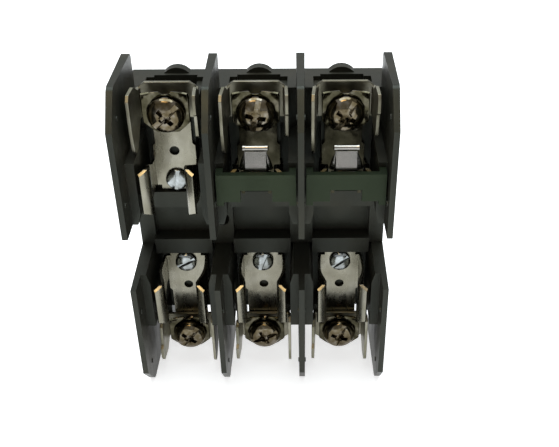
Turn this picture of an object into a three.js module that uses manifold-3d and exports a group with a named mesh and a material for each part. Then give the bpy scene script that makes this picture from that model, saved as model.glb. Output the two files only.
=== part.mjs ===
// Open three-pole block for ferrule cartridge fuses: one black moulded base with four tall
// partitions, and for every pole two spring clips with their terminals (line end up, load end down).
//
// Frame, in millimetres: +X across the poles, +Z along the block towards the line end, and the
// mounting face lies in Y = 0, so the front of the block faces -Y. "out" below is the distance in
// front of the mounting face (out = -Y). A half pole is drawn for the line end, around x = 0, and
// the load end is the same half pole turned by half a turn about Y.

import * as THREE from 'three';
import { mergeVertices } from 'three/addons/utils/BufferGeometryUtils.js';
import Module from 'manifold-3d';

const wasm = await Module();
wasm.setup();

// ---- driving dimensions -------------------------------------------------------------------

const POLE_PITCH = 25.4;
const POLES = [-POLE_PITCH, 0, POLE_PITCH];
const COVERED_POLES = [1, 2]; // poles whose line clip has a cover and a spring tab
const GAP = 0.3; // between pieces that touch on the real block

const PARTITION = {
  tip: 53.2, // outer end, beyond the floor
  rear: 12.1, // rear edge of the overhanging end
  chamferOut: 37.1, // where the chamfer starts on the end
  chamferZ: 43.5, // where the chamfer meets the front edge
  front: 45,
  inner: 9.34, // inner end, facing the centre gap
  halfFront: 0.85, // half thickness at the front edge and at the floor
  halfRear: 1.25,
  corner: 1, // small cut on the two corners of the end
};

const FLOOR = { level: 14.5, end: 42.9 };
const BRIDGE = { level: 20, wall: 22.3, wallInner: 6.1, wallOuter: 11.7, valley: 17 };
const PAD = { inner: 9.1, front: 37, outerZ: 30, taper: 1, taperZ: 13 };
const PEDESTAL = { half: 6.6, level: 19.7, endZ: 35.8 };
const RAIL = { outer: 8.6, level: 21 };
const POCKET = { floor: 4.6, stepHalf: 8.8, stepOut: 6.2, stepZ: 41.6 };
const END_BOSS = { radius: 5.2, centreZ: 39.5, thick: 3.2 };
const REAR_POCKET = { half: 9.2, z0: 13, z1: 33, depth: 3.5 };
const MOUNTING_HOLE_RADIUS = 2.4;
const PIPS = [{ out: 42.2, z: 19.5 }, { out: 37.8, z: 44.5 }];
const PIP = { radius: 0.8, proud: 0.4 };

const STRAP = { back: 20, front: 21, half: 5.6, endZ: 47.4, tongueHalf: 5, tongueZ: 12 };
const SHOULDER = { half: 6.4, z0: 13.6, z1: 27.2 }; // stretch of the strap that the arms rise from
const STRAP_HOLE = { z: 25.5, radius: 1.5 };
const ARM = {
  thick: 0.8,
  tip: 39.2, // front of the lips
  z0: 13.2,
  coveredZ0: 19, // under a clip cover
  z1: 28.4,
  rootZ: 22.5, // top of the root, where the arm leaves the strap
  corner: 1.6, // cut on the corners of the lips
};

const CLIP_SCREW = { z: 15.8, headRadius: 3.45, headThick: 1.6, shankRadius: 1.6, shankEnd: 11.5 };

const CHANNEL = { back: 21.3, front: 22.4, half: 8.2, rim: 34.4, z0: 37.4, z1: 48.3, corner: 1.8 };
const TERMINAL = { z: 41.1, holeRadius: 2.75 };

// How far each terminal screw and each clip screw is turned, in degrees, first to third pole.
const SCREW_TURNS = { line: [48, 12, 30], load: [38, 66, 20] };
const CLIP_SCREW_TURNS = { line: [8, 70, 25], load: [62, 20, 52] };

const SCREW = { headRadius: 5.3, headBack: 28.3, headFront: 31.2, shankRadius: 2.4, tip: 14.2 };
const CLAMP = {
  back: 26.8,
  front: 27.8,
  half: 6.7,
  top: 6.5,
  foot: 6,
  footHalf: 3.2,
  cornerZ: 2.6,
  ear: 1.5,
};
const NUT = { half: 4.7, back: 16, front: 19.7 };

const COVER = { back: 39.75, front: 41.2, half: 11.3, z0: 19.7, z1: 28.7, legZ: 18.4, legHalf: 9.3 };
const COVER_NOTCH = { half: 4.5, z: 23.4 };
const TAB = { back: 38.6, front: 39.3, half: 2.9, z0: 21.4, neckZ: 28.9, z1: 34.2, wing: 4.5 };
const TAB_BAR = { radius: 0.85, half: 3.8, out: 38.2, z: 35.3 };

const BLACK = { color: 0x1c211f, roughness: 0.42, metalness: 0 };
const PLATED = { color: 0xcfcdc4, roughness: 0.22, metalness: 1 };
const BRIGHT = { color: 0xd8cfb8, roughness: 0.2, metalness: 1 };
const STEEL = { color: 0xb9b8b2, roughness: 0.35, metalness: 1 };

// ---- helpers: prisms on the block's three planes, and joining and cutting -------------------

const X = new THREE.Vector3(1, 0, 0);
const Z = new THREE.Vector3(0, 0, 1);
const OUT = new THREE.Vector3(0, -1, 0);

// Each plane: the directions of an outline's two numbers, and of the prism's length.
const PLANES = {
  outZ: [OUT, Z, X.clone().negate()],
  xOut: [X, OUT, Z.clone().negate()],
  xZ: [X, Z, OUT],
};

function prism(plane, outline, from, to) {
  const shape = new THREE.Shape(outline.map(([a, b]) => new THREE.Vector2(a, b)));
  const depth = Math.abs(to - from);
  const geometry = new THREE.ExtrudeGeometry(shape, { depth, bevelEnabled: false });
  const [first, second, along] = PLANES[plane];
  geometry.applyMatrix4(new THREE.Matrix4().makeBasis(first, second, along));
  const startsHigh = along.x + along.z < 0;
  const start = startsHigh ? Math.max(from, to) : Math.min(from, to);
  return geometry.translate(...along.clone().multiplyScalar(startsHigh ? -start : start).toArray());
}

function box(x0, x1, out0, out1, z0, z1) {
  return prism('xZ', [[x0, z0], [x1, z0], [x1, z1], [x0, z1]], out0, out1);
}

function rod(radius, out0, out1, x, z, sides = 16) {
  const geometry = new THREE.CylinderGeometry(radius, radius, out1 - out0, sides);
  return geometry.translate(x, -(out0 + out1) / 2, z);
}

function solidOf(geometry) {
  const bare = geometry.clone();
  bare.deleteAttribute('normal');
  bare.deleteAttribute('uv');
  const merged = mergeVertices(bare, 1e-4);
  return new wasm.Manifold(new wasm.Mesh({
    numProp: 3,
    vertProperties: new Float32Array(merged.attributes.position.array),
    triVerts: new Uint32Array(merged.index.array),
  }));
}

function geometryOf(solid) {
  const mesh = solid.getMesh();
  const geometry = new THREE.BufferGeometry();
  geometry.setAttribute('position', new THREE.BufferAttribute(mesh.vertProperties, 3));
  geometry.setIndex(new THREE.BufferAttribute(mesh.triVerts, 1));
  geometry.computeVertexNormals();
  return geometry;
}

const joined = (geometries) => geometries.map(solidOf).reduce((all, next) => all.add(next));

const cut = (solid, geometries) => geometries.reduce((rest, tool) => rest.subtract(solidOf(tool)), solid);

// The outline of a sheet of even thickness whose middle follows a smooth curve.
function sheetOutline(points, thick, steps) {
  const curve = new THREE.SplineCurve(points.map(([a, b]) => new THREE.Vector2(a, b)));
  const left = [];
  const right = [];
  for (let i = 0; i <= steps; i += 1) {
    const middle = curve.getPoint(i / steps);
    const ahead = curve.getTangent(i / steps);
    left.push([middle.x - (ahead.y * thick) / 2, middle.y + (ahead.x * thick) / 2]);
    right.unshift([middle.x + (ahead.y * thick) / 2, middle.y - (ahead.x * thick) / 2]);
  }
  return [...left, ...right];
}

const SIDES = [-1, 1];

// ---- base ----------------------------------------------------------------------------------

function partition(x) {
  const p = PARTITION;
  const profile = [
    [0, -0.1], [BRIDGE.level, -0.1], [BRIDGE.level, p.inner], [p.front, p.inner],
    [p.front, p.chamferZ], [p.chamferOut + p.corner * 0.63, p.tip - p.corner * 0.78],
    [p.chamferOut - p.corner, p.tip], [p.rear + p.corner, p.tip], [p.rear, p.tip - p.corner],
    [p.rear, FLOOR.end], [0, FLOOR.end],
  ];
  const section = [
    [x - p.halfRear, -1], [x + p.halfRear, -1], [x + p.halfRear, FLOOR.level],
    [x + p.halfFront, p.front + 0.1], [x - p.halfFront, p.front + 0.1], [x - p.halfRear, FLOOR.level],
  ];
  const reach = 2 * p.halfRear;
  const slab = solidOf(prism('outZ', profile, x - reach, x + reach));
  return slab.intersect(solidOf(prism('xOut', section, -1, p.tip + 1)));
}

// The pad beside a clip: it thickens the partition, and thins out towards the centre gap.
function pad(side) {
  const half = POLE_PITCH / 2;
  const outline = [
    [side * half, PARTITION.inner], [side * (PAD.inner + PAD.taper), PARTITION.inner],
    [side * PAD.inner, PAD.taperZ], [side * PAD.inner, PAD.outerZ], [side * half, PAD.outerZ],
  ];
  return prism('xZ', outline, FLOOR.level - 1, PAD.front);
}

function pip(side, { out, z }) {
  const face = POLE_PITCH / 2 - PARTITION.halfFront;
  const length = PIP.proud + 1;
  const geometry = new THREE.CylinderGeometry(PIP.radius, PIP.radius, length, 6).rotateZ(Math.PI / 2);
  return geometry.translate(side * (face + 0.5 - PIP.proud / 2), -out, z);
}

function halfPoleBody() {
  const half = POLE_PITCH / 2 + 0.02;
  return [
    box(-half, half, 0, FLOOR.level, -0.1, FLOOR.end),
    box(-half, half, FLOOR.level - 1, BRIDGE.level, -0.1, PARTITION.inner),
    box(-PAD.inner - 0.1, PAD.inner + 0.1, FLOOR.level - 1, BRIDGE.wall, BRIDGE.wallInner, BRIDGE.wallOuter),
    box(
      -PEDESTAL.half, PEDESTAL.half, FLOOR.level - 1, PEDESTAL.level,
      BRIDGE.wallOuter - 0.1, PEDESTAL.endZ,
    ),
    rod(END_BOSS.radius, 0, END_BOSS.thick, 0, END_BOSS.centreZ, 24),
    ...SIDES.map(pad),
    ...SIDES.map((side) => box(
      Math.min(side * RAIL.outer, side * PEDESTAL.half), Math.max(side * RAIL.outer, side * PEDESTAL.half),
      FLOOR.level - 1, RAIL.level, PEDESTAL.endZ - 1, FLOOR.end,
    )),
    ...SIDES.flatMap((side) => PIPS.map((place) => pip(side, place))),
  ];
}

function halfPoleCuts() {
  const { half } = PEDESTAL;
  return [
    box(-PAD.inner, PAD.inner, BRIDGE.valley, BRIDGE.wall + 1, -0.5, BRIDGE.wallInner),
    box(-half, half, POCKET.floor, RAIL.level + 1, PEDESTAL.endZ, FLOOR.end + 1),
    box(-POCKET.stepHalf, POCKET.stepHalf, POCKET.stepOut, FLOOR.level - 1.5, POCKET.stepZ, FLOOR.end + 1),
    box(-REAR_POCKET.half, REAR_POCKET.half, -1, REAR_POCKET.depth, REAR_POCKET.z0, REAR_POCKET.z1),
    rod(CLIP_SCREW.shankRadius + GAP, CLIP_SCREW.shankEnd - 1, PEDESTAL.level + 1, 0, CLIP_SCREW.z, 12),
  ];
}

function placed(geometry, x, isLoad) {
  const copy = geometry.clone();
  if (isLoad) {
    copy.rotateY(Math.PI);
  }
  return copy.translate(x, 0, 0);
}

function baseSolid() {
  const bodies = [];
  const cuts = [];
  for (const x of POLES) {
    for (const isLoad of [false, true]) {
      bodies.push(...halfPoleBody().map((piece) => placed(piece, x, isLoad)));
      cuts.push(...halfPoleCuts().map((piece) => placed(piece, x, isLoad)));
    }
  }
  for (const side of SIDES) {
    cuts.push(rod(MOUNTING_HOLE_RADIUS, -1, BRIDGE.level + 1, (side * POLE_PITCH) / 2, 0));
  }
  let solid = joined(bodies);
  for (let i = -1.5; i <= 1.5; i += 1) {
    const wall = geometryOf(partition(0));
    solid = solid.add(solidOf(placed(wall, i * POLE_PITCH, false)));
    solid = solid.add(solidOf(placed(wall, i * POLE_PITCH, true)));
  }
  return cut(solid, cuts);
}

// ---- spring clip: a flat strap whose shoulders turn up into two sprung arms -------------------

function strap() {
  const outline = [
    [-STRAP.tongueHalf, STRAP.tongueZ], [STRAP.tongueHalf, STRAP.tongueZ],
    [STRAP.tongueHalf, SHOULDER.z0], [SHOULDER.half, SHOULDER.z0], [SHOULDER.half, SHOULDER.z1],
    [STRAP.half, SHOULDER.z1 + 0.8], [STRAP.half, STRAP.endZ], [-STRAP.half, STRAP.endZ],
    [-STRAP.half, SHOULDER.z1 + 0.8], [-SHOULDER.half, SHOULDER.z1], [-SHOULDER.half, SHOULDER.z0],
    [-STRAP.tongueHalf, SHOULDER.z0],
  ];
  return prism('xZ', outline, STRAP.back, STRAP.front);
}

// One arm from the shoulder, round the ferrule, in to the throat and out to the lip. Its end
// towards the centre is at z0, which leaves room under a clip cover.
function arm(side, z0) {
  const middle = [
    [6.55, 20.45], [6.75, 21.6], [6.9, 23.5], [7, 26], [7, 29.2], [6.4, 32.4], [5.5, 35.1],
    [5.3, 36.4], [6, 37.8], [7.7, 39],
  ].map(([x, out]) => [side * x, out]);
  const sheet = solidOf(prism('xOut', sheetOutline(middle, ARM.thick, 16), ARM.z0 - 1, ARM.z1 + 1));
  const { tip, z1, rootZ, corner } = ARM;
  const blank = [
    [19, SHOULDER.z0], [25, SHOULDER.z0], [30, z0], [tip - corner, z0], [tip + 1.8, z0 + corner * 1.8],
    [tip + 1.8, z1 - corner * 1.8], [tip - corner, z1], [35, z1], [24, rootZ], [19, rootZ],
  ];
  return sheet.intersect(solidOf(prism('outZ', blank, -12, 12)));
}

function clipSolid(armZ0) {
  const blank = solidOf(strap()).add(arm(-1, armZ0)).add(arm(1, armZ0));
  return cut(blank, [
    rod(CLIP_SCREW.shankRadius + GAP, STRAP.back - 1, STRAP.front + 1, 0, CLIP_SCREW.z, 12),
    rod(STRAP_HOLE.radius, STRAP.back - 1, STRAP.front + 1, 0, STRAP_HOLE.z),
    rod(TERMINAL.holeRadius, STRAP.back - 1, STRAP.front + 1, 0, TERMINAL.z),
  ]);
}

// ---- fasteners --------------------------------------------------------------------------------

// A screw turned from a profile of [radius, out] points, placed on its own axis.
function turned(profile, z, sides = 20) {
  const points = profile.map(([radius, out]) => new THREE.Vector2(radius, -out));
  return new THREE.LatheGeometry(points, sides).translate(0, 0, z);
}

// Turns a driver recess about the screw's axis.
function turnedBy(degrees, z, geometry) {
  const turn = new THREE.Matrix4().makeRotationY(THREE.MathUtils.degToRad(degrees));
  return geometry.translate(0, 0, -z).applyMatrix4(turn).translate(0, 0, z);
}

function clipScrewSolid(degrees) {
  const { headRadius, headThick, shankRadius, shankEnd, z } = CLIP_SCREW;
  const back = STRAP.front + GAP;
  const front = back + headThick;
  const blank = turned([
    [0, front], [headRadius * 0.75, front - 0.15], [headRadius, front - 0.75], [headRadius, back],
    [shankRadius, back], [shankRadius, shankEnd + 1], [0, shankEnd],
  ], z, 16);
  return cut(solidOf(blank), [turnedBy(degrees, z, box(-0.6, 0.6, front - 0.8, front + 1, z - 5, z + 5))]);
}

function terminalScrewSolid(degrees) {
  const { headRadius, headBack, headFront, shankRadius, tip } = SCREW;
  const blank = turned([
    [0, headFront], [headRadius * 0.62, headFront - 0.25], [headRadius * 0.9, headFront - 0.9],
    [headRadius, headFront - 1.7], [headRadius, headBack], [shankRadius, headBack],
    [shankRadius, tip + 0.8], [shankRadius - 0.7, tip], [0, tip],
  ], TERMINAL.z);
  const slot = box(-0.65, 0.65, headFront - 1, headFront + 1, TERMINAL.z - 6, TERMINAL.z + 6);
  const cross = (halfX, halfZ) => box(
    -halfX, halfX, headFront - 1.6, headFront + 1, TERMINAL.z - halfZ, TERMINAL.z + halfZ,
  );
  const recess = joined([slot, cross(2.5, 0.6), cross(0.6, 2.5), cross(1.1, 1.1)]);
  return cut(solidOf(blank), [turnedBy(degrees, TERMINAL.z, geometryOf(recess))]);
}

function nutSolid() {
  const { half, back, front } = NUT;
  const blank = box(-half, half, back, front, TERMINAL.z - half, TERMINAL.z + half);
  return cut(solidOf(blank), [rod(TERMINAL.holeRadius, back - 1, front + 1, 0, TERMINAL.z)]);
}

// ---- terminal: flared channel and wire clamp ---------------------------------------------------

// Side view of a flange: [out, z] points of its free edge, and how far it leans out at the rim at
// each end of the block. The long flange has a tapered tongue, and the short one a step.
const FLANGES = {
  long: {
    lean: { line: 9.4, load: 8.6 },
    edge: [
      [21, 46.6], [24, 46.6], [28, 49.2], [33, 49], [34.2, 47.4], [34.4, 38.4],
      [33.6, 32], [32.2, 30.6], [30.2, 31.4], [24.8, 37.8], [21, 37.8],
    ],
  },
  short: {
    lean: { line: 8.9, load: 9.1 },
    edge: [
      [21, 46.6], [24, 46.6], [27.6, 49], [32.8, 48.8], [33.8, 47], [33.8, 43.4],
      [32.4, 42.4], [31.6, 35.8], [29.6, 34.4], [24.6, 37.8], [21, 37.8],
    ],
  },
};

function channelSolid(end) {
  const { back, front, half, rim, z0, z1, corner } = CHANNEL;
  const thick = front - back;
  const plate = prism('xZ', [
    [-half, z0], [half, z0], [half, z1 - corner * 0.7], [half - corner, z1],
    [corner - half, z1], [-half, z1 - corner * 0.7],
  ], back, front);
  const flange = (side, { lean, edge }) => {
    const section = [
      [side * (half - 0.6), back], [side * (half + 0.25), back], [side * (half + 0.75), back + 0.6],
      [side * (lean[end] + 0.5), rim + 1], [side * (lean[end] - 0.4), rim + 1],
      [side * (half - 0.3), front + 0.2],
      [side * (half - 0.6), front],
    ];
    const sheet = solidOf(prism('xOut', section, z0 - 8, z1 + 1));
    return sheet.intersect(solidOf(prism('outZ', edge, -12, 12)));
  };
  const blank = solidOf(plate).add(flange(-1, FLANGES.long)).add(flange(1, FLANGES.short));
  return cut(blank, [rod(TERMINAL.holeRadius, back - thick, front + thick, 0, TERMINAL.z)]);
}

// Saddle under the screw head: a curved plate whose two top corners are turned up, narrowing
// towards its foot. It hangs the same way up at both ends of the block.
function clampSolid(end) {
  const { back, front, half, top, foot, footHalf, cornerZ, ear } = CLAMP;
  const section = sheetOutline([
    [-half, front + 0.3], [-half + 1.5, front - 0.25], [0, (front + back) / 2],
    [half - 1.5, front - 0.25], [half, front + 0.3],
  ], front - back, 8);
  const outline = [
    [-footHalf, -foot], [footHalf, -foot], [half + 1, -cornerZ], [half + 1, top],
    [-half - 1, top], [-half - 1, -cornerZ],
  ];
  const up = end === 'line' ? 1 : -1;
  const across = outline.map(([x, z]) => [x, TERMINAL.z + up * z]);
  const plate = solidOf(prism('xOut', section, TERMINAL.z - half - 1, TERMINAL.z + half + 1))
    .intersect(solidOf(prism('xZ', up > 0 ? across : across.reverse(), back - 1, front + 1)));
  const ears = SIDES.map((side) => {
    const x = side * (half - 0.5);
    const z = TERMINAL.z + up * (top - 1.2);
    return box(x - 0.5, x + 0.5, front - 0.4, front + ear, z - 1.2, z + 1.2);
  });
  const waist = rod(1.6, back - 1, front + 1, 0, TERMINAL.z + up * (top + 0.6), 12);
  const solid = ears.reduce((all, piece) => all.add(solidOf(piece)), plate);
  return cut(solid, [rod(SCREW.shankRadius + GAP, back - 1, front + 1, 0, TERMINAL.z), waist]);
}

// ---- clip cover and its spring tab (line end of the second and third poles) ----------------------

function coverSolid() {
  const { back, front, half, z0, z1, legZ, legHalf } = COVER;
  const legs = SIDES.map((side) => box(
    Math.min(side * legHalf, side * half), Math.max(side * legHalf, side * half),
    PAD.front + GAP, front, legZ, z1,
  ));
  const plate = box(-half + 0.1, half - 0.1, back, front, z0, z1);
  const rib = box(-half + 0.1, half - 0.1, back, front + 0.5, z1 - 1, z1);
  const { half: notchHalf, z: notchZ } = COVER_NOTCH;
  const notch = box(-notchHalf, notchHalf, back - 1, front + 1, z0 - 1, notchZ);
  return cut(joined([plate, rib, ...legs]), [notch]);
}

function tabSolid() {
  const { back, front, half, z0, neckZ, z1, wing } = TAB;
  const plate = box(-half, half, back, front, neckZ - 0.6, z1);
  const yoke = box(-wing + 0.2, wing - 0.2, back, front, neckZ - 1.6, neckZ - 0.4);
  const prongs = SIDES.map((side) => box(
    side * (wing - 0.7) - 0.5, side * (wing - 0.7) + 0.5, back, front, z0, neckZ - 1.5,
  ));
  const wings = SIDES.map((side) => prism('xOut', sheetOutline([
    [side * (half - 0.2), front - 0.4], [side * (half + 0.8), front - 0.6],
    [side * wing, front - 1.8], [side * (wing + 0.1), front - 3],
  ], 0.6, 6), neckZ - 0.4, z1 - 0.8));
  const neck = prism('outZ', sheetOutline([
    [front - 0.35, z1 - 0.3], [front - 0.5, z1 + 0.5], [TAB_BAR.out, TAB_BAR.z],
  ], 0.7, 4), -half, half);
  const bar = new THREE.CylinderGeometry(TAB_BAR.radius, TAB_BAR.radius, 2 * TAB_BAR.half, 16);
  bar.rotateZ(Math.PI / 2).translate(0, -TAB_BAR.out, TAB_BAR.z);
  return joined([plate, yoke, neck, bar, ...prongs, ...wings]);
}

// ---- assembly -------------------------------------------------------------------------------------

function meshOf(name, solid, finish) {
  const mesh = new THREE.Mesh(geometryOf(solid), new THREE.MeshStandardMaterial(finish));
  mesh.name = name;
  return mesh;
}

function halfPole(end, index, isCovered) {
  const pieces = [
    ['clip', clipSolid(isCovered ? ARM.coveredZ0 : ARM.z0), PLATED],
    ['clip_screw', clipScrewSolid(CLIP_SCREW_TURNS[end][index]), BRIGHT],
    ['terminal_channel', channelSolid(end), PLATED],
    ['wire_clamp', clampSolid(end), PLATED],
    ['terminal_screw', terminalScrewSolid(SCREW_TURNS[end][index]), BRIGHT],
    ['terminal_nut', nutSolid(), STEEL],
  ];
  const group = new THREE.Group();
  for (const [piece, solid, finish] of pieces) {
    group.add(meshOf(`${end}_${piece}_${index + 1}`, solid, finish));
  }
  if (isCovered) {
    group.add(meshOf(`clip_cover_${index + 1}`, coverSolid(), BLACK));
    group.add(meshOf(`spring_tab_${index + 1}`, tabSolid(), PLATED));
  }
  return group;
}

const block = new THREE.Group();
block.add(meshOf('base', baseSolid(), BLACK));

POLES.forEach((x, index) => {
  const line = halfPole('line', index, COVERED_POLES.includes(index));
  line.position.x = x;
  const load = halfPole('load', index, false);
  load.position.x = x;
  load.rotation.y = Math.PI;
  block.add(line, load);
});

export default block;
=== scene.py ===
"""Looks of the three-pole fuse block: black moulding, plated clips, saddles and screws."""

import math

import bmesh
import bpy
from mathutils import Euler, Matrix, Vector


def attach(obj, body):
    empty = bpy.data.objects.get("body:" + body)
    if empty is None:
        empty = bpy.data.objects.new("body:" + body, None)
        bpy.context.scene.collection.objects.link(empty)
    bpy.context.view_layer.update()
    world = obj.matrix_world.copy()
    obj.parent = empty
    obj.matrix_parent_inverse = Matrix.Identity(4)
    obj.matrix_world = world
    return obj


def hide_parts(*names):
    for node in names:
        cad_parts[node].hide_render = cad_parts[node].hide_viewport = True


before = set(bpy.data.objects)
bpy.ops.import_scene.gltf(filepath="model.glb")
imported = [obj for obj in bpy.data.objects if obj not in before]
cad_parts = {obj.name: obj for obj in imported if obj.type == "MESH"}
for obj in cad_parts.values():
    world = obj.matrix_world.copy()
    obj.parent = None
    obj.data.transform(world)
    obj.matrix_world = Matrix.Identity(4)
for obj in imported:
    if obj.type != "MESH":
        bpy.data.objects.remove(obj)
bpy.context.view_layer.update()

# ---- driving dimensions, in millimetres; "out" is the distance in front of the mounting face -----

MM = 0.001
POLE_PITCH = 25.4
POLES = (1, 2, 3)
MIDDLE_POLE = 2
ENDS = ("line", "load")
COVERED_POLES = (2, 3)
FLOOR_Z = -53.2
TERMINAL_Z = 41.1
CLIP_SCREW_Z = 15.8
THREAD_PITCH = 25.4 / 32
TABLE_GLOW = 0.75  # the table's own light, which keeps it white as in the photo

# How far each screw's slot is turned, in degrees, first to third pole.
SCREW_TURNS = {"line": (48, 12, 30), "load": (38, 66, 20)}
CLIP_SCREW_TURNS = {"line": (8, 70, 25), "load": (62, 20, 52)}

# ---- materials -----------------------------------------------------------------------------------

NOISE_LOW, NOISE_HIGH = 0.3, 0.7  # most of a noise's values lie between these


class Graph:
    """A material's node tree, with short ways to add nodes and join them."""

    def __init__(self, name):
        self.material = bpy.data.materials.new(name)
        self.material.use_nodes = True
        self.nodes = self.material.node_tree.nodes
        self.links = self.material.node_tree.links
        self.shader = self.nodes["Principled BSDF"]
        self.place = self.nodes.new("ShaderNodeTexCoord").outputs["Object"]

    def join(self, source, target):
        self.links.new(source, target)

    def noise(self, scale, detail, stretch=None):
        """Noise over the piece; scale is per metre, and stretch is a factor for each axis."""
        place = self.place
        if stretch:
            mapping = self.nodes.new("ShaderNodeMapping")
            mapping.inputs["Scale"].default_value = stretch
            self.join(place, mapping.inputs["Vector"])
            place = mapping.outputs["Vector"]
        node = self.nodes.new("ShaderNodeTexNoise")
        node.inputs["Scale"].default_value = scale
        node.inputs["Detail"].default_value = detail
        self.join(place, node.inputs["Vector"])
        return node.outputs["Fac"]

    def ramp(self, factor, stops):
        """A colour for each value of a factor, from (position, color) stops."""
        node = self.nodes.new("ShaderNodeValToRGB")
        ramp = node.color_ramp
        while len(ramp.elements) < len(stops):
            ramp.elements.new(0.5)
        for element, (position, color) in zip(ramp.elements, stops):
            element.position = position
            element.color = (*color, 1)
        self.join(factor, node.inputs["Fac"])
        return node.outputs["Color"]

    def spread(self, noise, low, high):
        """Maps the usual range of a noise onto the values low to high."""
        node = self.nodes.new("ShaderNodeMapRange")
        node.inputs["From Min"].default_value = NOISE_LOW
        node.inputs["From Max"].default_value = NOISE_HIGH
        node.inputs["To Min"].default_value = low
        node.inputs["To Max"].default_value = high
        self.join(noise, node.inputs["Value"])
        return node.outputs["Result"]

    def bump(self, height, distance, strength, before=None):
        """Unevenness of a depth in metres, on top of another bump where one is given."""
        node = self.nodes.new("ShaderNodeBump")
        node.inputs["Strength"].default_value = strength
        node.inputs["Distance"].default_value = distance
        self.join(height, node.inputs["Height"])
        if before:
            self.join(before, node.inputs["Normal"])
        return node.outputs["Normal"]


def moulding_material(name, stops, gloss_tint):
    """Moulded plastic: stops give its clouded colour, and gloss_tint colours its reflections."""
    graph = Graph(name)
    shader = graph.shader
    clouds = graph.noise(scale=55, detail=4)
    graph.join(graph.ramp(clouds, stops), shader.inputs["Base Color"])
    smears = graph.noise(scale=160, detail=5, stretch=(1, 1, 0.35))
    graph.join(graph.spread(smears, low=0.34, high=0.5), shader.inputs["Roughness"])
    waves = graph.noise(scale=240, detail=2)
    ripple = graph.bump(waves, distance=0.00035, strength=0.25)
    grains = graph.noise(scale=5200, detail=3)
    grain = graph.bump(grains, distance=0.00004, strength=0.5, before=ripple)
    graph.join(grain, shader.inputs["Normal"])
    shader.inputs["IOR"].default_value = 1.33
    shader.inputs["Specular Tint"].default_value = (*gloss_tint, 1)
    return graph.material


def metal_material(name, stops, roughness, wave, tarnish):
    """Plated sheet or turned metal.

    The stops give its colour, wave its unevenness in metres, and tarnish the scale of its spots.
    """
    graph = Graph(name)
    shader = graph.shader
    shader.inputs["Metallic"].default_value = 1.0
    spots = graph.noise(scale=tarnish, detail=4)
    graph.join(graph.ramp(spots, stops), shader.inputs["Base Color"])
    smears = graph.noise(scale=420, detail=4, stretch=(1, 1, 0.3))
    low, high = roughness
    graph.join(graph.spread(smears, low, high), shader.inputs["Roughness"])
    waves = graph.noise(scale=190, detail=2)
    ripple = graph.bump(waves, distance=wave, strength=0.6)
    lines = graph.noise(scale=2600, detail=3, stretch=(1, 1, 0.08))
    scratches = graph.bump(lines, distance=0.00001, strength=0.05, before=ripple)
    graph.join(scratches, shader.inputs["Normal"])
    return graph.material


def floor_material():
    """The white table, which gives a little light of its own."""
    graph = Graph("white_table")
    shader = graph.shader
    clouds = graph.noise(scale=3, detail=2)
    white = graph.ramp(clouds, [(0.3, (0.86, 0.86, 0.86)), (0.7, (0.9, 0.9, 0.9))])
    graph.join(white, shader.inputs["Base Color"])
    graph.join(white, shader.inputs["Emission Color"])
    shader.inputs["Emission Strength"].default_value = TABLE_GLOW
    shader.inputs["Roughness"].default_value = 0.6
    return graph.material


MATERIALS = {
    "moulding": moulding_material(
        name="black_moulding",
        stops=[
            (0.3, (0.014, 0.014, 0.011)),
            (0.55, (0.018, 0.017, 0.012)),
            (0.75, (0.026, 0.022, 0.014)),
        ],
        gloss_tint=(0.9, 1.0, 0.88),
    ),
    "cover_moulding": moulding_material(
        name="green_black_moulding",
        stops=[
            (0.3, (0.007, 0.012, 0.006)),
            (0.7, (0.010, 0.015, 0.007)),
        ],
        gloss_tint=(0.82, 1.0, 0.66),
    ),
    "clip_plating": metal_material(
        name="tin_plating",
        stops=[
            (0.3, (0.185, 0.175, 0.135)),
            (0.5, (0.22, 0.21, 0.165)),
            (0.72, (0.27, 0.26, 0.215)),
        ],
        roughness=(0.2, 0.34),
        wave=0.00015,
        tarnish=150,
    ),
    "tab_plating": metal_material(
        name="tin_plating_on_tab",
        stops=[
            (0.3, (0.24, 0.235, 0.215)),
            (0.5, (0.28, 0.27, 0.25)),
            (0.72, (0.33, 0.31, 0.29)),
        ],
        roughness=(0.12, 0.24),
        wave=0.00015,
        tarnish=150,
    ),
    # Painted shade: the tin plating made dark for the clips under the covers and for the tab
    # prongs, in place of the shade and dark reflections that the covers give them.
    "painted_shade_plating": metal_material(
        name="tin_plating_painted_shade",
        stops=[
            (0.3, (0.016, 0.015, 0.009)),
            (0.5, (0.026, 0.024, 0.015)),
            (0.72, (0.05, 0.046, 0.032)),
        ],
        roughness=(0.16, 0.3),
        wave=0.0003,
        tarnish=260,
    ),
    "channel_plating": metal_material(
        name="tin_plating_on_channel",
        stops=[
            (0.3, (0.16, 0.155, 0.11)),
            (0.5, (0.22, 0.21, 0.16)),
            (0.72, (0.30, 0.29, 0.24)),
        ],
        roughness=(0.34, 0.48),
        wave=0.0002,
        tarnish=170,
    ),
    "clamp_metal": metal_material(
        name="nickel_plating",
        stops=[
            (0.3, (0.035, 0.032, 0.018)),
            (0.5, (0.06, 0.055, 0.034)),
            (0.72, (0.13, 0.12, 0.09)),
        ],
        roughness=(0.1, 0.22),
        wave=0.0008,
        tarnish=420,
    ),
    "screw_metal": metal_material(
        name="warm_nickel",
        stops=[
            (0.3, (0.06, 0.045, 0.022)),
            (0.5, (0.11, 0.09, 0.055)),
            (0.72, (0.21, 0.19, 0.155)),
        ],
        roughness=(0.08, 0.18),
        wave=0.0007,
        tarnish=520,
    ),
    "clip_screw_metal": metal_material(
        name="zinc_plating",
        stops=[
            (0.3, (0.20, 0.21, 0.20)),
            (0.5, (0.28, 0.30, 0.30)),
            (0.72, (0.38, 0.41, 0.42)),
        ],
        roughness=(0.1, 0.22),
        wave=0.0004,
        tarnish=500,
    ),
    "nut_steel": metal_material(
        name="zinc_steel",
        stops=[
            (0.3, (0.34, 0.34, 0.32)),
            (0.6, (0.42, 0.42, 0.40)),
        ],
        roughness=(0.25, 0.4),
        wave=0.0002,
        tarnish=600,
    ),
}

# ---- building pieces -----------------------------------------------------------------------------

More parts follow.
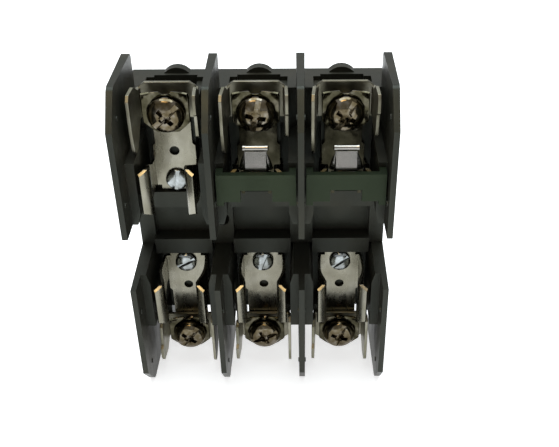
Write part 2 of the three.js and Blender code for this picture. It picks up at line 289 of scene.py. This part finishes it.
MERGE_DISTANCE = 2e-6  # metres, between points that are one point
FLAT_ANGLE = math.radians(0.6)  # faces closer than this in direction are one flat face
EDGE_ANGLE = 32  # degrees; a fold sharper than this is an edge to round
EDGE_STEPS = 2
TURNED_STEPS = 36  # round a screw


def finish_piece(piece, node, body, look):
    """Gives a piece its material and place in the model, instead of the CAD node it stands for."""
    piece.data.materials.clear()
    piece.data.materials.append(MATERIALS[look])
    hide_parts(node)
    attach(piece, body)


def soften(piece, width, angle=EDGE_ANGLE):
    """Rounds a piece's edges by a width in millimetres and evens out its shading."""
    bevel = piece.modifiers.new("edges", "BEVEL")
    bevel.width = width * MM
    bevel.segments = EDGE_STEPS
    bevel.limit_method = "ANGLE"
    bevel.angle_limit = math.radians(angle)
    bevel.harden_normals = True
    normals = piece.modifiers.new("shading", "WEIGHTED_NORMAL")
    normals.keep_sharp = True


def piece_from_bmesh(name, work):
    """A smooth-shaded object from a bmesh, which is used up."""
    for face in work.faces:
        face.smooth = True
    mesh = bpy.data.meshes.new(name)
    work.to_mesh(mesh)
    work.free()
    piece = bpy.data.objects.new(name, mesh)
    bpy.context.scene.collection.objects.link(piece)
    return piece


def face_outwards(work):
    bmesh.ops.recalc_face_normals(work, faces=work.faces)


def redrawn(node, name):
    """A clean copy of a CAD node's mesh, its flat faces merged so that its edges can be rounded."""
    work = bmesh.new()
    work.from_mesh(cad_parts[node].data)
    bmesh.ops.remove_doubles(work, verts=work.verts, dist=MERGE_DISTANCE)
    bmesh.ops.dissolve_limit(
        work,
        angle_limit=FLAT_ANGLE,
        verts=work.verts,
        edges=work.edges,
        use_dissolve_boundaries=False,
    )
    face_outwards(work)
    return piece_from_bmesh(name, work)


def copied(node, body, look, width):
    """Stands in for a CAD node with its own shape, its edges rounded by a width in millimetres."""
    piece = redrawn(node, "look_" + node)
    soften(piece, width)
    finish_piece(piece, node, body, look)


def half_pole_place(end, pole):
    """Where a half pole drawn for the line end at x = 0, in millimetres, sits in the model."""
    shift = Matrix.Translation(((pole - MIDDLE_POLE) * POLE_PITCH * MM, 0, 0))
    turn = Matrix.Rotation(math.pi if end == "load" else 0, 4, "Y")
    return shift @ turn @ Matrix.Scale(MM, 4)


def join_loops(work, loops):
    """Walls between closed loops that have the same number of points."""
    for near, far in zip(loops, loops[1:]):
        for i in range(len(near)):
            j = (i + 1) % len(near)
            work.faces.new((near[i], near[j], far[j], far[i]))


def close_ends(work, loops):
    work.faces.new(list(reversed(loops[0])))
    work.faces.new(loops[-1])


def lathe(work, rings, centre_z):
    """A closed turned solid from (radius, out) rings; a radius may be a function of the angle."""
    loops = []
    for radius, out in rings:
        loop = []
        for i in range(TURNED_STEPS):
            angle = 2 * math.pi * i / TURNED_STEPS
            r = radius(angle) if callable(radius) else radius
            loop.append(work.verts.new((r * math.cos(angle), -out, centre_z + r * math.sin(angle))))
        loops.append(loop)
    join_loops(work, loops)
    close_ends(work, loops)


# A block's six sides, by the numbers of its corners: 0 to 3 round one end, 4 to 7 round the other.
BLOCK_SIDES = (
    (0, 1, 2, 3),
    (7, 6, 5, 4),
    (0, 4, 5, 1),
    (1, 5, 6, 2),
    (2, 6, 7, 3),
    (3, 7, 4, 0),
)


def block_in(work, x_half, out0, out1, z_half, centre_z, taper):
    """A tapering block for cutting: its end at out0 is smaller by the taper."""
    corners = []
    for out, scale in ((out0, taper), (out1, 1.0)):
        for x, z in ((-1, -1), (1, -1), (1, 1), (-1, 1)):
            place = (x * x_half * scale, -out, centre_z + z * z_half * scale)
            corners.append(work.verts.new(place))
    for side in BLOCK_SIDES:
        work.faces.new([corners[i] for i in side])


def carved(piece, cutters):
    """Cuts the cutters' shapes out of a piece and keeps only the result."""
    for cutter in cutters:
        cut = piece.modifiers.new("cut", "BOOLEAN")
        cut.operation = "DIFFERENCE"
        cut.solver = "EXACT"
        cut.object = cutter
    seen = piece.evaluated_get(bpy.context.evaluated_depsgraph_get())
    mesh = bpy.data.meshes.new_from_object(seen)
    piece.modifiers.clear()
    piece.data = mesh
    for cutter in cutters:
        bpy.data.objects.remove(cutter)


def turned_about(work, degrees, centre_z):
    """Turns a shape about a screw's axis."""
    turn = Matrix.Rotation(math.radians(degrees), 4, "Y")
    middle = Matrix.Translation((0, 0, centre_z))
    bmesh.ops.transform(work, matrix=middle @ turn @ middle.inverted(), verts=work.verts)


# ---- screws --------------------------------------------------------------------------------------

SCREW = {
    "radius": 5.3,
    "back": 28.3,
    "front": 31.2,
    "rim": 1.0,
    "dome_steps": 9,
    "shank": 2.4,
    "tip": 14.2,
    "thread_depth": 0.33,
}
CLIP_SCREW = {
    "radius": 3.45,
    "back": 21.3,
    "front": 22.9,
    "rim": 0.7,
    "dome_steps": 7,
    "shank": 1.6,
    "tip": 11.5,
}

# What is cut into a head: a slot, and in a terminal screw a cross recess's arms and middle too.
SCREW_CUTS = (
    {"x_half": 0.8, "z_half": 6.0, "depth": 1.1, "taper": 1.0},
    {"x_half": 3.4, "z_half": 0.8, "depth": 1.8, "taper": 0.6},
    {"x_half": 0.8, "z_half": 3.4, "depth": 1.8, "taper": 0.6},
    {"x_half": 1.5, "z_half": 1.5, "depth": 1.9, "taper": 0.5},
)
CLIP_SCREW_CUTS = ({"x_half": 0.55, "z_half": 5, "depth": 0.8, "taper": 1.0},)
SCREW_CUTTER_RISE = 0.6  # how far a cutter stands out in front of its head
CLIP_SCREW_CUTTER_RISE = 0.5

UNDER_EDGE = 0.12  # chamfer round a head's underside
RIM_EDGE = 0.1  # and round the top of its rim
DOME_FULLNESS = 0.85  # under 1, so the dome is fuller than an ellipse
DOME_MIDDLE = 0.15  # radius of its last ring
THREAD_STEPS = 7  # rings in each pitch
THREAD_START = 1.0  # length over which the thread deepens from the tip
THREAD_END = 0.8  # and over which it runs out under the head
SCREW_EDGE_ANGLE = 38


def dome(radius, back, front, rim, steps):
    """Rings of a domed head, from its underside's edge over the rim to its middle."""
    rings = [
        (radius - UNDER_EDGE, back),
        (radius, back + UNDER_EDGE),
        (radius, back + rim - RIM_EDGE),
        (radius - RIM_EDGE, back + rim),
    ]
    rise = front - back - rim
    for i in range(1, steps + 1):
        angle = math.pi / 2 * i / steps
        reach = (radius - RIM_EDGE) * math.cos(angle) ** DOME_FULLNESS
        rings.append((max(reach, DOME_MIDDLE), back + rim + rise * math.sin(angle)))
    return rings


def thread(radius, depth, out0, out1):
    """Rings of a threaded shank: the crest moves out by one pitch in each turn."""
    count = int((out1 - out0) / THREAD_PITCH * THREAD_STEPS)
    rings = []
    for i in range(count + 1):
        out = out0 + (out1 - out0) * i / count
        fade = min(1, (out - out0) / THREAD_START, (out1 - out) / THREAD_END)

        def crest(angle, out=out, fade=fade):
            phase = 2 * math.pi * out / THREAD_PITCH - angle
            return radius - depth * fade * (0.5 - 0.5 * math.cos(phase))

        rings.append((crest, out))
    return rings


def head_cutters(cuts, front, rise, centre_z, degrees):
    """Blocks that cut a head's slot and recess, turned about the screw's axis."""
    cutters = []
    for cut in cuts:
        shape = bmesh.new()
        block_in(
            shape,
            x_half=cut["x_half"],
            out0=front - cut["depth"],
            out1=front + rise,
            z_half=cut["z_half"],
            centre_z=centre_z,
            taper=cut["taper"],
        )
        turned_about(shape, degrees, centre_z)
        face_outwards(shape)
        cutters.append(piece_from_bmesh("cutter", shape))
    return cutters


def terminal_screw(end, pole):
    """A screw with a domed head, slotted and cross-recessed, and a threaded shank."""
    node = f"{end}_terminal_screw_{pole}"
    size = SCREW
    shank, tip, back, front = (size[key] for key in ("shank", "tip", "back", "front"))
    rings = [(shank - 0.7, tip), (shank - 0.1, tip + 0.8)]
    rings += thread(shank, size["thread_depth"], tip + 0.9, back - 0.3)
    rings += [(shank, back - 0.05)]
    rings += dome(size["radius"], back, front, size["rim"], size["dome_steps"])
    work = bmesh.new()
    lathe(work, rings, TERMINAL_Z)
    face_outwards(work)
    screw = piece_from_bmesh("look_" + node, work)
    degrees = SCREW_TURNS[end][pole - 1]
    carved(screw, head_cutters(SCREW_CUTS, front, SCREW_CUTTER_RISE, TERMINAL_Z, degrees))
    screw.data.transform(half_pole_place(end, pole))
    soften(screw, 0.13, SCREW_EDGE_ANGLE)
    finish_piece(screw, node, f"{end}_screw_{pole}", "screw_metal")


def clip_screw(end, pole):
    """A slotted screw that holds a clip to the base; its shank is plain, as it never shows."""
    node = f"{end}_clip_screw_{pole}"
    size = CLIP_SCREW
    shank, tip, back, front = (size[key] for key in ("shank", "tip", "back", "front"))
    rings = [(shank - 0.5, tip), (shank, tip + 1), (shank, back - 0.02)]
    rings += dome(size["radius"], back, front, size["rim"], size["dome_steps"])
    work = bmesh.new()
    lathe(work, rings, CLIP_SCREW_Z)
    face_outwards(work)
    screw = piece_from_bmesh("look_" + node, work)
    degrees = CLIP_SCREW_TURNS[end][pole - 1]
    carved(
        screw,
        head_cutters(CLIP_SCREW_CUTS, front, CLIP_SCREW_CUTTER_RISE, CLIP_SCREW_Z, degrees),
    )
    screw.data.transform(half_pole_place(end, pole))
    soften(screw, 0.1, SCREW_EDGE_ANGLE)
    finish_piece(screw, node, "block", "clip_screw_metal")


# ---- saddles -------------------------------------------------------------------------------------

CLAMP = {
    "middle": 27.3,  # how far out the middle of its sheet is
    "thick": 0.8,
    "hole": 2.75,
    "half": 6.7,
    "top": 6.5,
    "foot": 6.0,
    "foot_half": 3.2,
    "corner": 2.6,
    "notch_half": 1.6,
    "notch_depth": 0.9,
    "notch_floor": 0.9,
    "side_rise": 0.85,
    "corner_rise": 0.95,
    "foot_drop": 0.3,
    "unevenness": 0.18,
}
SADDLE_STEPS = 72  # round its hole
SADDLE_RINGS = 10  # from its hole to its edge
SADDLE_EDGE_ANGLE = 40
CURL_START, CURL_LENGTH = 0.55, 0.45  # where the corners curl, as shares of the way to the top
DROP_START = 0.5  # where the foot drops, as a share of the way down to it
PARALLEL = 1e-9  # a cross product under this means two directions are the same
END_SLACK = 1e-6  # so that a line through a corner of the outline meets one of its sides


def edge_distance(outline, angle):
    """How far the outline's edge is from the middle, in the direction of an angle."""
    dx, dz = math.cos(angle), math.sin(angle)
    nearest = math.inf
    for (x0, z0), (x1, z1) in zip(outline, outline[1:] + outline[:1]):
        ex, ez = x1 - x0, z1 - z0
        cross = dx * ez - dz * ex
        if abs(cross) < PARALLEL:
            continue
        along = (x0 * ez - z0 * ex) / cross
        share = (x0 * dz - z0 * dx) / cross
        if along > 0 and -END_SLACK <= share <= 1 + END_SLACK:
            nearest = min(nearest, along)
    return nearest


def saddle_rise(x, z):
    """How far the saddle's sheet stands out at a place, for its bent sides and curled corners."""
    size = CLAMP
    side = abs(x) / size["half"]
    curl = max(0.0, z / size["top"] - CURL_START) / CURL_LENGTH
    bent = size["side_rise"] * side ** 2.2
    curled = size["corner_rise"] * curl ** 2 * side ** 3
    wave = size["unevenness"] * math.cos(1.1 * x) * math.sin(0.9 * z + 0.6)
    drop = size["foot_drop"] * max(0.0, -z / size["foot"] - DROP_START)
    return bent + curled + wave - drop


def saddle_outline():
    """The saddle's edge as (x, z) places about its hole, with the notched top towards +z."""
    size = CLAMP
    notch = [
        (size["notch_half"], size["top"]),
        (size["notch_floor"], size["top"] - size["notch_depth"]),
    ]
    right = [(size["foot_half"], -size["foot"]), (size["half"], -size["corner"])]
    right += [(size["half"], size["top"])] + notch
    left = [(-x, z) for x, z in reversed(right)]
    return left[-1:] + right + left[:-1]


def wire_clamp(end, pole):
    """A saddle: a bent sheet round the terminal screw, its notched top towards the line end."""
    node = f"{end}_wire_clamp_{pole}"
    size = CLAMP
    outline = saddle_outline()
    up = 1 if end == "line" else -1
    work = bmesh.new()
    loops = []
    for k in range(SADDLE_RINGS + 1):
        loop = []
        for i in range(SADDLE_STEPS):
            angle = 2 * math.pi * i / SADDLE_STEPS
            edge = edge_distance(outline, angle)
            reach = size["hole"] + (edge - size["hole"]) * k / SADDLE_RINGS
            x, z = reach * math.cos(angle), reach * math.sin(angle)
            out = size["middle"] + saddle_rise(x, z)
            loop.append(work.verts.new((x, -out, TERMINAL_Z + up * z)))
        loops.append(loop)
    join_loops(work, loops)
    face_outwards(work)
    clamp = piece_from_bmesh("look_" + node, work)
    clamp.data.transform(half_pole_place(end, pole))
    sheet = clamp.modifiers.new("sheet", "SOLIDIFY")
    sheet.thickness = size["thick"] * MM
    sheet.offset = 0
    soften(clamp, 0.18, SADDLE_EDGE_ANGLE)
    finish_piece(clamp, node, f"{end}_clamp_{pole}", "clamp_metal")


# ---- spring tabs ---------------------------------------------------------------------------------

TAB = {
    "half": 2.95,
    "front": 39.3,
    "lean": 0.8,
    "foot": 28.4,
    "top": 34.3,
    "thick": 0.6,
    "bar_out": 38.0,
    "bar_z": 35.3,
    "bar_radius": 0.8,
    "bar_half": 3.7,
    "bar_grip": 2.9,
}
TAB_ROWS = 8
BAR_STEPS = 24  # round the bar
PRONG_GAP = 0.05  # between the plate and the prongs, which are two pieces

# Steps (sideways, back) from the plate's edge over a wing, at the plate's foot.
TAB_WING = ((0.25, 0.35), (0.6, 0.6), (1.15, 0.75), (1.7, 1.2), (1.9, 2.0))


def tab_row(z):
    """Places across the tab's sheet at one height: a plate that leans back, and its two wings."""
    size = TAB
    share = (z - size["foot"]) / (size["top"] - size["foot"])
    out = size["front"] - size["thick"] / 2 - size["lean"] * share
    reach = max(0.04, 1 - 1.15 * share) ** 0.6
    side = [(size["half"] + dx * reach, out - back * reach) for dx, back in TAB_WING]
    right = [(size["half"], out)] + side
    left = [(-x, y) for x, y in reversed(right)]
    return left + [(-1.0, out), (1.0, out)] + right


def bar_loops(work):
    """The rolled bar along the tab's top: rounded ends, and a thinner middle between two grips."""
    size = TAB
    half, grip = size["bar_half"], size["bar_grip"]
    right = [(half, 0.62), (half - 0.25, 1.0), (grip, 1.0), (grip - 0.2, 0.9)]
    left = [(-x, share) for x, share in reversed(right)]
    loops = []
    for x, share in right + left:
        radius = size["bar_radius"] * share
        loop = []
        for i in range(BAR_STEPS):
            angle = 2 * math.pi * i / BAR_STEPS
            out = size["bar_out"] + radius * math.cos(angle)
            loop.append(work.verts.new((x, -out, size["bar_z"] + radius * math.sin(angle))))
        loops.append(loop)
    return loops


def spring_tab(pole):
    """The part of a spring tab that shows: a plate with wings, and the bar above it."""
    node = f"spring_tab_{pole}"
    size = TAB
    work = bmesh.new()
    rows = []
    for k in range(TAB_ROWS + 1):
        z = size["foot"] + (size["top"] - size["foot"]) * k / TAB_ROWS
        rows.append([work.verts.new((x, -out, z)) for x, out in tab_row(z)])
    for low, high in zip(rows, rows[1:]):
        for i in range(len(low) - 1):
            work.faces.new((low[i], low[i + 1], high[i + 1], high[i]))
    bmesh.ops.solidify(work, geom=work.faces[:], thickness=size["thick"])
    loops = bar_loops(work)
    join_loops(work, loops)
    close_ends(work, loops)
    face_outwards(work)
    tab = piece_from_bmesh("look_" + node, work)
    tab.data.transform(half_pole_place("line", pole))
    soften(tab, 0.1)
    finish_piece(tab, node, f"cover_{pole}", "tab_plating")


def tab_prongs(pole):
    """The prongs that hold a spring tab in its cover: the CAD tab's part below the plate."""
    node = f"spring_tab_{pole}"
    work = bmesh.new()
    work.from_mesh(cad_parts[node].data)
    cut = bmesh.ops.bisect_plane(
        work,
        geom=work.verts[:] + work.edges[:] + work.faces[:],
        plane_co=(0, 0, (TAB["foot"] - PRONG_GAP) * MM),
        plane_no=(0, 0, 1),
        clear_outer=True,
    )
    edges = [item for item in cut["geom_cut"] if isinstance(item, bmesh.types.BMEdge)]
    bmesh.ops.holes_fill(work, edges=edges)
    face_outwards(work)
    prongs = piece_from_bmesh("prongs_" + node, work)
    soften(prongs, 0.08)
    # The prongs get the plating painted dark, as painted shade inside the cover.
    finish_piece(prongs, node, f"cover_{pole}", "painted_shade_plating")


# ---- the block -----------------------------------------------------------------------------------

copied("base", "block", "moulding", 0.3)

for end in ENDS:
    for pole in POLES:
        covered = end == "line" and pole in COVERED_POLES
        # Clips under a cover get the plating painted dark, as painted shade from the cover.
        plating = "painted_shade_plating" if covered else "clip_plating"
        copied(f"{end}_clip_{pole}", "block", plating, 0.16)
        clip_screw(end, pole)
        channel = f"{end}_terminal_channel_{pole}"
        copied(channel, "block", "channel_plating", 0.25)
        copied(f"{end}_terminal_nut_{pole}", "block", "nut_steel", 0.3)
        wire_clamp(end, pole)
        terminal_screw(end, pole)

for pole in COVERED_POLES:
    copied(f"clip_cover_{pole}", f"cover_{pole}", "cover_moulding", 0.25)
    spring_tab(pole)
    tab_prongs(pole)

# ---- table, light and camera, in metres ----------------------------------------------------------

TABLE_REACH = 2.0
WORLD_STRENGTH = 0.55

# The photo's camera, solved from the block's own edges; the angles are in degrees.
CAMERA = {
    "place": (0.0122, -0.2293, 0.1381),
    "tilt": 56.22,
    "roll": -0.373,
    "lens": 50.34,
    "sensor": 36,
    "shift_x": -0.0361,
}


def table():
    work = bmesh.new()
    corners = ((-1, -1), (1, -1), (1, 1), (-1, 1))
    work.faces.new(
        [work.verts.new((x * TABLE_REACH, y * TABLE_REACH, FLOOR_Z * MM)) for x, y in corners]
    )
    piece = piece_from_bmesh("table", work)
    piece.data.materials.append(floor_material())


def area_light(name, place, aim, size, power, color):
    light = bpy.data.lights.new(name, "AREA")
    light.shape = "RECTANGLE"
    light.size, light.size_y = size
    light.energy = power
    light.color = color
    holder = bpy.data.objects.new(name, light)
    bpy.context.scene.collection.objects.link(holder)
    holder.location = place
    holder.rotation_euler = (Vector(aim) - Vector(place)).to_track_quat("-Z", "Y").to_euler()
    return holder


def white_world():
    world = bpy.data.worlds.new("studio")
    bpy.context.scene.world = world
    world.use_nodes = True
    background = world.node_tree.nodes["Background"]
    background.inputs["Color"].default_value = (1, 1, 1, 1)
    background.inputs["Strength"].default_value = WORLD_STRENGTH


def camera():
    data = bpy.data.cameras.new("photo_view")
    data.lens = CAMERA["lens"]
    data.sensor_width = CAMERA["sensor"]
    data.shift_x = CAMERA["shift_x"]
    view = bpy.data.objects.new("photo_view", data)
    bpy.context.scene.collection.objects.link(view)
    tilt = Euler((math.radians(CAMERA["tilt"]), 0, 0)).to_matrix()
    roll = Matrix.Rotation(math.radians(CAMERA["roll"]), 3, "Z")
    view.rotation_euler = (tilt @ roll).to_euler()
    view.location = CAMERA["place"]
    bpy.context.scene.camera = view


table()
white_world()
area_light(
    "overhead",
    place=(0, 0.15, 0.9),
    aim=(0, -0.1, 0),
    size=(0.9, 0.9),
    power=11,
    color=(0.88, 0.96, 1),
)
lamp = area_light(
    "lamp",
    place=(-0.1, -0.32, 0.6),
    aim=(0, 0, 0),
    size=(0.26, 0.2),
    power=1.0,
    color=(1, 0.68, 0.3),
)
lamp.visible_diffuse = False  # it makes the warm gleams on the metal and tints nothing else
bpy.context.scene.view_settings.view_transform = "Standard"
camera()
